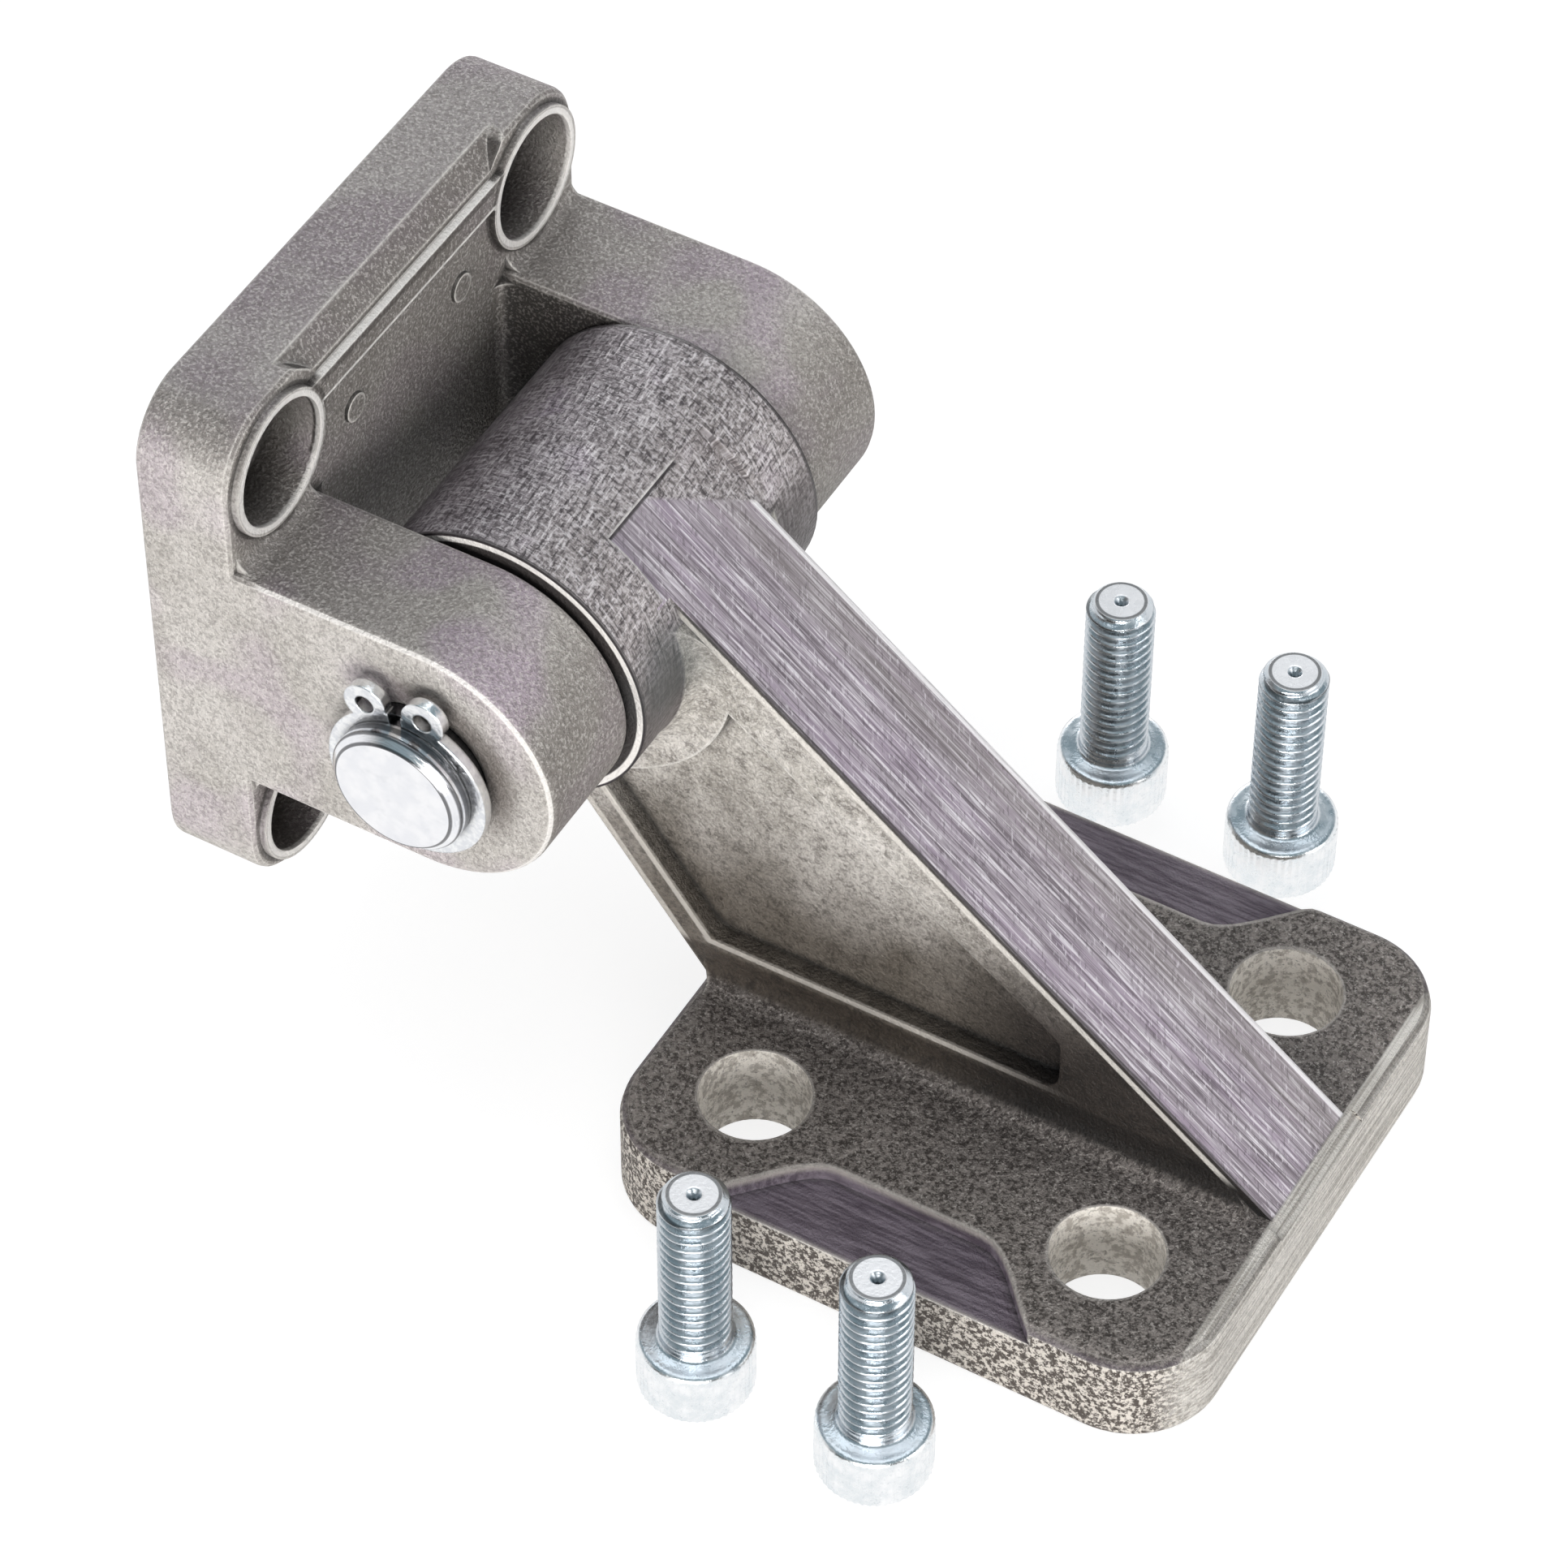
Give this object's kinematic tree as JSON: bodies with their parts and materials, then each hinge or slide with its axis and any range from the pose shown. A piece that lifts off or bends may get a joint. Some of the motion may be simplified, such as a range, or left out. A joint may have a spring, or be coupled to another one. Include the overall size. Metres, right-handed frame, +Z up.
{
  "type": "swivel fastener",
  "caption": "Swivel mounting for a pneumatic cylinder: a flanged clevis on a pivot pin, held by an angled foot bracket, with loose cap screws beside it.",
  "frame": {"origin": "centre of the foot's four bolt holes, on the mounting surface", "axes": "+X along the arm from the pivot to the foot, +Y along the pivot pin, +Z up from the mounting surface"},
  "size_m": [0.0946, 0.0839, 0.072],
  "materials": {
    "cast_bracket": "cast and shot blasted, ground flat on the arm",
    "cast_clevis": "die cast, shot blasted",
    "bronze": "sintered",
    "bright_steel": "ground",
    "spring_steel": "bright stamped",
    "zinc_steel": "zinc plated"
  },
  "bodies": {
    "bracket": {"foot_bracket": "cast_bracket", "bush_near": "bronze", "bush_far": "bronze"},
    "clevis_body": {"clevis": "cast_clevis"},
    "pin_body": {"pivot_pin": "bright_steel", "circlip_near": "spring_steel", "circlip_far": "spring_steel"},
    "screw_1": {"cap_screw_1": "zinc_steel"},
    "screw_2": {"cap_screw_2": "zinc_steel"},
    "screw_3": {"cap_screw_3": "zinc_steel"},
    "screw_4": {"cap_screw_4": "zinc_steel"}
  },
  "joints": [
    {"name": "clevis_swing", "type": "hinge", "parent": "bracket", "child": "clevis_body", "pos_m": [-0.041, 0, 0.046], "axis": [0, 1, 0], "range_deg": [-48, 130]},
    {"name": "pin_turn", "type": "hinge", "parent": "clevis_body", "child": "pin_body", "pos_m": [-0.041, 0, 0.046], "axis": [0, 1, 0], "continuous": true},
    {"name": "lift_screw_1", "type": "slide", "parent": "bracket", "child": "screw_1", "axis": [0, 0, 1], "range_m": [0, 0.08]},
    {"name": "lift_screw_2", "type": "slide", "parent": "bracket", "child": "screw_2", "axis": [0, 0, 1], "range_m": [0, 0.08]},
    {"name": "lift_screw_3", "type": "slide", "parent": "bracket", "child": "screw_3", "axis": [0, 0, 1], "range_m": [0, 0.08]},
    {"name": "lift_screw_4", "type": "slide", "parent": "bracket", "child": "screw_4", "axis": [0, 0, 1], "range_m": [0, 0.08]}
  ]
}
